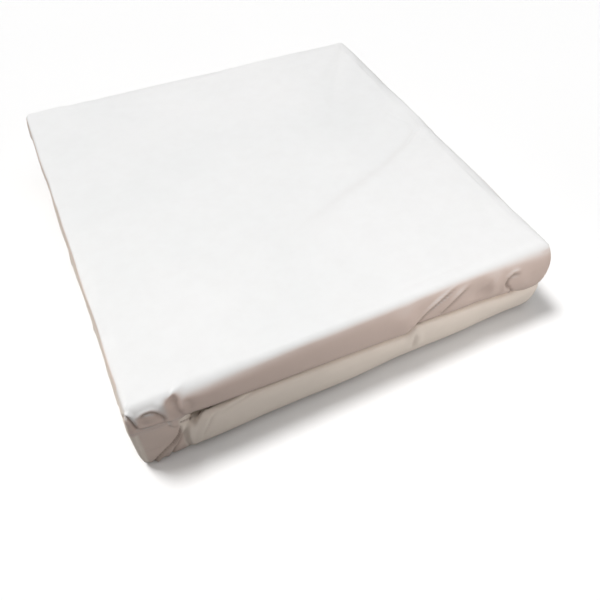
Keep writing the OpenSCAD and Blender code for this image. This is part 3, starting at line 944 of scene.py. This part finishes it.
def coated_fabric(name, level, side, low, shade):
    """Knitted fabric with a soft plastic coating: fine knit, faint cockle, lighter and smoother bands on the
    rounded edge and the hem, and painted shade on the sides, in creases, over the hem and towards the floor.
    """
    m = Nodes(name)
    place = m.add("TexCoord").outputs["Object"]
    cloth = m.add("UVMap", uv_map="cloth").outputs["UV"]
    split = m.add("SeparateXYZ")
    m.link(cloth, split.inputs[0])
    u, v = split.outputs[0], split.outputs[1]
    cloud = m.noise(place, 2.6, 3.0)
    mottle = m.noise(place, 34.0, 4.0, 0.6)
    # the sides take their painted shade colour, the lower half its cream
    base = m.blend(m.attribute("low"), m.blend(m.attribute("side"), level, side), low)
    tone = m.blend(m.ramp(cloud, 0.3, 0.7), (0.955, 0.965, 0.965), (1.0, 1.0, 1.0))
    tint = m.add("Mix", data_type="RGBA", blend_type="MULTIPLY")
    tint.inputs[0].default_value = 1.0
    m.link(base, tint.inputs[6])
    m.link(tone, tint.inputs[7])
    colour = m.blend(m.ramp(mottle, 0.35, 0.75, 0.0, 0.035), tint.outputs[2], shade)
    # painted shade in creases and in the opening of the parked zip
    colour = m.blend(m.math("MULTIPLY", m.attribute("painted_crease_shade"), 0.62, clamp=True), colour, shade)
    colour = m.blend(m.math("MULTIPLY", m.attribute("edge_and_hem_band"), 0.10), colour, (0.93, 0.92, 0.90))
    # painted shade over the hem and towards the floor
    hem_floor_shade_amount = m.math("MULTIPLY", m.attribute("soil"), m.ramp(mottle, 0.2, 0.8, 0.26, 0.34), clamp=True)
    colour = m.blend(hem_floor_shade_amount, colour, shade)
    # knit: loops in columns, with courses set off by the loops beside them
    wales = m.math("SINE", m.math("MULTIPLY", u, 2 * math.pi / WALE))
    courses = m.math("MULTIPLY", v, 2 * math.pi / COURSE)
    courses = m.math("SINE", m.math("ADD", courses, m.math("MULTIPLY", wales, 0.9)))
    knit = m.math("MULTIPLY", wales, courses)
    normal = m.bump(knit, 0.10, 0.00012)
    normal = m.bump(m.noise(place, 260.0, 3.0, 0.6), 0.10, 0.0006, normal)
    normal = m.bump(m.noise(place, 42.0, 2.0, 0.5), 0.10, 0.0022, normal)
    # a row of stitches above the hem, pulled a little into the fabric
    on_side = m.math("GREATER_THAN", m.attribute("side"), 0.6)
    hemmed = m.math("MULTIPLY", on_side, m.math("LESS_THAN", m.attribute("low"), 0.3))
    line = m.math("MULTIPLY", m.math("COMPARE", v, -SEAM_UP, 0.00045), hemmed)
    dash = m.math("GREATER_THAN", m.math("PINGPONG", u, 0.0019), 0.00045)
    stitch = m.math("MULTIPLY", line, dash)
    groove = m.math("MULTIPLY", m.math("COMPARE", v, -SEAM_UP, 0.0014), hemmed)
    normal = m.bump(m.math("SUBTRACT", m.math("MULTIPLY", stitch, 1.4), groove), 0.5, 0.0004, normal)
    # painted shade in the groove the stitches pull into the fabric
    colour = m.blend(m.math("MULTIPLY", groove, 0.12), colour, shade)
    colour = m.blend(m.math("MULTIPLY", stitch, 0.5), colour, (0.86, 0.83, 0.79))
    rough = m.math("ADD", m.ramp(cloud, 0.3, 0.7, 0.50, 0.60), m.math("MULTIPLY", m.attribute("painted_crease_shade"), 0.2))
    rough = m.math("SUBTRACT", rough, m.math("MULTIPLY", m.attribute("edge_and_hem_band"), 0.10))
    return m.finish(colour, normal, rough, 0.38, (0.12, 0.45))


WHITE = (0.862, 0.862, 0.862)
# painted shade: the darker, warmer colour the sides get in place of the shade they lie in
SHADED_SIDE_BEIGE = (0.80, 0.64, 0.565)
# the cream of the lower half; part of its warmth is painted warm shade
CREAM_WITH_WARM_SHADE = (0.975, 0.865, 0.765)
fabric = coated_fabric("coated_fabric", WHITE, SHADED_SIDE_BEIGE, CREAM_WITH_WARM_SHADE, (0.34, 0.25, 0.21))
for name, obj in made.items():
    obj.data.materials.append(fabric)


def woven(name, colour, dark, warp, weft, height):
    """Woven tape or rib knit: threads both ways, a slanted twill on top, and a little dust between them."""
    m = Nodes(name)
    place = m.add("TexCoord").outputs["Object"]
    split = m.add("SeparateXYZ")
    m.link(place, split.inputs[0])
    run = m.math("ADD", split.outputs[0], split.outputs[1])
    rise = split.outputs[2]
    a = m.math("SINE", m.math("MULTIPLY", run, 2 * math.pi / warp))
    b = m.math("SINE", m.math("ADD", m.math("MULTIPLY", rise, 2 * math.pi / weft), m.math("MULTIPLY", a, 1.1)))
    slanted = m.math("ADD", run, m.math("PINGPONG", rise, 0.003))
    twill = m.math("SINE", m.math("MULTIPLY", slanted, 2 * math.pi / (2.6 * warp)))
    weave = m.math("ADD", m.math("MULTIPLY", a, b), m.math("MULTIPLY", twill, 0.5))
    cloud = m.noise(place, 30.0, 4.0, 0.6)
    tone = m.blend(m.ramp(weave, -1.2, 1.0, 0.45, 0.0), colour, dark)
    dusty = m.blend(m.ramp(cloud, 0.35, 0.75, 0.0, 0.25), tone, dark)
    normal = m.bump(m.noise(place, 900.0, 2.0), 0.2, 0.0002, m.bump(weave, 0.5, height))
    return m.finish(dusty, normal, m.ramp(cloud, 0.3, 0.7, 0.72, 0.88), 0.3, (0.25, 0.5))


def open_foam(name, colour, dark, pore):
    """Cut foam: round cells of uneven size, the marks of the saw, and patches yellowed by age."""
    m = Nodes(name)
    place = m.add("TexCoord").outputs["Object"]
    cells = m.add("TexVoronoi", Scale=1 / pore, Randomness=1.0)
    m.link(place, cells.inputs["Vector"])
    wall = m.ramp(cells.outputs["Distance"], 0.1, 0.6)
    saw = m.add("TexWave", Scale=60.0, Distortion=3.0, Detail=2.0)
    m.link(place, saw.inputs["Vector"])
    cloud = m.noise(place, 7.0, 4.0, 0.55)
    tone = m.blend(m.math("MULTIPLY", wall, 0.35), colour, dark)
    aged = m.blend(m.ramp(cloud, 0.35, 0.75, 0.0, 0.3), tone, dark)
    height = m.math("SUBTRACT", m.math("MULTIPLY", saw.outputs["Fac"], 0.15), wall)
    return m.finish(aged, m.bump(height, 0.6, pore * 0.5), m.ramp(cloud, 0.3, 0.7, 0.86, 0.97), 0.15)


def moulded(name, colour, dark, rough):
    """Moulded nylon: a faint flow mottle, fine pits, and edges rubbed smooth."""
    m = Nodes(name)
    place = m.add("TexCoord").outputs["Object"]
    flow = m.noise(place, 220.0, 3.0, 0.55)
    edge = m.ramp(m.add("NewGeometry").outputs["Pointiness"], 0.50, 0.58)
    tone = m.blend(m.ramp(flow, 0.35, 0.7, 0.0, 0.35), colour, dark)
    rubbed = m.blend(m.math("MULTIPLY", edge, 0.3), tone, (0.95, 0.94, 0.92))
    gloss = m.math("SUBTRACT", m.ramp(flow, 0.3, 0.7, rough, rough + 0.14), m.math("MULTIPLY", edge, 0.1))
    return m.finish(rubbed, m.bump(m.noise(place, 2400.0, 2.0), 0.15, 0.0001), gloss, 0.5)


def plated(name, colour, dark, rough):
    """Cast and plated zinc: brushed lines, dull patches, dirt in the corners and bright worn edges."""
    m = Nodes(name)
    place = m.add("TexCoord").outputs["Object"]
    drawn_out = m.add("Mapping")
    m.link(place, drawn_out.inputs["Vector"])
    drawn_out.inputs["Scale"].default_value = (180, 4000, 4000)
    brushed = m.noise(drawn_out.outputs[0], 1.0, 3.0, 0.6)
    dull = m.noise(place, 400.0, 3.0, 0.6)
    point = m.add("NewGeometry").outputs["Pointiness"]
    grime = m.ramp(point, 0.44, 0.50, 0.6, 0.0)
    worn = m.ramp(point, 0.52, 0.60)
    tone = m.blend(m.math("ADD", grime, m.ramp(dull, 0.5, 0.8, 0.0, 0.3), clamp=True), colour, dark)
    worn_tone = m.blend(m.math("MULTIPLY", worn, 0.5), tone, (0.92, 0.90, 0.86))
    m.set("Metallic", 1.0)
    normal = m.bump(m.noise(place, 1500.0, 2.0), 0.1, 0.0001, m.bump(brushed, 0.12, 0.00008))
    gloss = m.math("ADD", m.ramp(brushed, 0.3, 0.7, rough, rough + 0.12), m.math("MULTIPLY", grime, 0.3))
    return m.finish(worn_tone, normal, gloss, 0.5)


tape = woven("tape_weave", (0.80, 0.78, 0.74), (0.46, 0.42, 0.37), 0.0009, 0.0007, 0.00014)
knit_sock = woven("sock_knit", (0.79, 0.77, 0.69), (0.50, 0.46, 0.38), 0.0022, 0.0016, 0.0004)
nylon = moulded("nylon_teeth", (0.78, 0.77, 0.74), (0.55, 0.53, 0.49), 0.34)
nylon_stop = moulded("nylon_stops", (0.74, 0.72, 0.68), (0.50, 0.47, 0.43), 0.40)
zinc = plated("zinc_slider", (0.62, 0.61, 0.60), (0.20, 0.18, 0.16), 0.26)
zinc_tab = plated("zinc_tab", (0.66, 0.65, 0.63), (0.24, 0.22, 0.20), 0.22)
firm = open_foam("foam_firm_cells", (0.56, 0.60, 0.66), (0.34, 0.36, 0.40), 0.0011)
middle = open_foam("foam_middle_cells", (0.80, 0.73, 0.52), (0.58, 0.48, 0.28), 0.0013)
visco = open_foam("foam_visco_cells", (0.86, 0.82, 0.66), (0.66, 0.56, 0.36), 0.0007)
finishes = {
    "zip_tape_upper": (tape, "zip_tape"), "zip_tape_lower": (tape, "zip_tape"),
    "zip_end_patch_front": (tape, "zip_tape"), "zip_end_patch_back": (tape, "zip_tape"),
    "fire_sock": (knit_sock, "sock"), "foam_base": (firm, "foam_firm"),
    "foam_rail_left": (firm, "foam_firm"), "foam_rail_right": (firm, "foam_firm"),
    "foam_castellated": (middle, "foam_middle"), "foam_visco": (visco, "foam_soft"),
}
for node, (material, slot_name) in finishes.items():
    inner[node].data.materials.append(material)
hard_finishes = {
    "zip_teeth_upper": nylon, "zip_teeth_lower": nylon, "zip_top_stops": nylon_stop, "zip_bottom_stop": nylon_stop,
    "zip_slider_body": zinc, "zip_slider_stud": zinc, "zip_pull_tab": zinc_tab,
}
for node, material in hard_finishes.items():
    for place in frame["nodes"][node].material_slots:
        place.material = material

# ---------------------------------------------------------------- stage
FLOOR_SIZE = 14.0
WHITE_FLOOR, GREY_FLOOR = 0.95, 0.30


def ring_mesh(name, levels, count=96):
    """A surface through circles of (radius, height) round the middle."""
    turn = np.arange(count) * 2 * np.pi / count
    points = [(r * math.cos(a), r * math.sin(a), z) for r, z in levels for a in turn]
    faces = []
    for k in range(len(levels) - 1):
        for a in range(count):
            b = (a + 1) % count
            faces.append((k * count + a, k * count + b, (k + 1) * count + b, (k + 1) * count + a))
    if name.startswith("floor"):
        faces.append(tuple(range(count))[::-1])
    mesh = bpy.data.meshes.new(name)
    mesh.from_pydata(points, [], faces)
    obj = put(name, mesh)
    return obj


def pale(name, grey, glow=0.0):
    m = Nodes(name)
    spread = m.noise(m.add("TexCoord").outputs["Object"], 0.8, 2.0)
    colour = m.blend(m.ramp(spread, 0.3, 0.7), (grey, grey, grey), (grey * 0.985, grey * 0.985, grey * 0.985))
    m.set("Roughness", 0.95)
    if glow:
        m.set("Emission Color", (1, 1, 1, 1))
        m.set("Emission Strength", glow)
    return m.finish(colour, None, None, 0.1)


floor = ring_mesh("floor", [(1.5, 0), (4, 0), (FLOOR_SIZE, 0)])
floor.data.materials.append(pale("floor_white", WHITE_FLOOR))
floor.visible_diffuse = floor.visible_glossy = floor.visible_shadow = False
# the light that comes back from below is that of a greyer floor, a millimetre under the one that shows
under_floor = ring_mesh("floor_below", [(1.5, -MM), (4, -MM), (FLOOR_SIZE, -MM)])
under_floor.data.materials.append(pale("floor_grey", GREY_FLOOR))
under_floor.visible_camera = False
wall = ring_mesh("backdrop", [(FLOOR_SIZE, -0.01), (FLOOR_SIZE + 1, 2), (FLOOR_SIZE + 1.5, 20)])
wall.data.materials.append(pale("backdrop_white", 0.02, 0.97))
wall.visible_diffuse = wall.visible_glossy = wall.visible_shadow = False

world = bpy.data.worlds.new("studio")
scene.world = world
world.use_nodes = True
world.node_tree.nodes["Background"].inputs["Color"].default_value = (1.0, 0.98, 0.965, 1)
world.node_tree.nodes["Background"].inputs["Strength"].default_value = 0.14
scene.view_settings.view_transform = "Standard"


def aim(lamp, place, target):
    lamp.location = place
    lamp.rotation_mode = "QUATERNION"
    lamp.rotation_quaternion = (Vector(target) - Vector(place)).to_track_quat("-Z", "Y")


def soft_sun(name, place, strength, spread, colour):
    data = bpy.data.lights.new(name, "SUN")
    data.energy, data.angle, data.color = strength, math.radians(spread), colour
    aim(put(name, data), place, (0, 0, 0.1))


def soft_box(name, place, target, size, power, colour, spread):
    data = bpy.data.lights.new(name, "AREA")
    data.shape, data.size, data.energy, data.color = "DISK", size, power, colour
    data.spread = math.radians(spread)
    aim(put(name, data), place, target)


soft_sun("key", (-0.22, 0.24, 1.0), 2.32, 16, (1.0, 1.0, 1.0))
soft_sun("broad", (0.10, -0.12, 1.0), 0.70, 60, (1.0, 1.0, 1.0))
soft_box("fill", (0.85, -1.60, 0.32), (0.16, -0.47, 0.09), 0.5, 0.72, (1.0, 0.98, 0.96), 54)
soft_box("fill_left", (-2.2, 0.30, 0.55), (-0.45, -0.30, 0.08), 0.6, 0.36, (1.0, 0.9, 0.78), 40)

# ---------------------------------------------------------------- camera
camera_data = bpy.data.cameras.new("camera")
camera = put("camera", camera_data)
camera_data.sensor_width = 36.0
camera_data.lens = 38.87
camera_data.shift_x, camera_data.shift_y = -0.0872, -0.0482
camera.matrix_world = (
    Matrix.Translation((-0.393, -1.116, 1.124))
    @ Matrix.Rotation(math.radians(-29.65), 4, "Z")
    @ Matrix.Rotation(math.radians(90 - 47.04), 4, "X")
    @ Matrix.Rotation(math.radians(2.38), 4, "Z")
)
camera_data.clip_start, camera_data.clip_end = 0.05, 60
scene.camera = camera
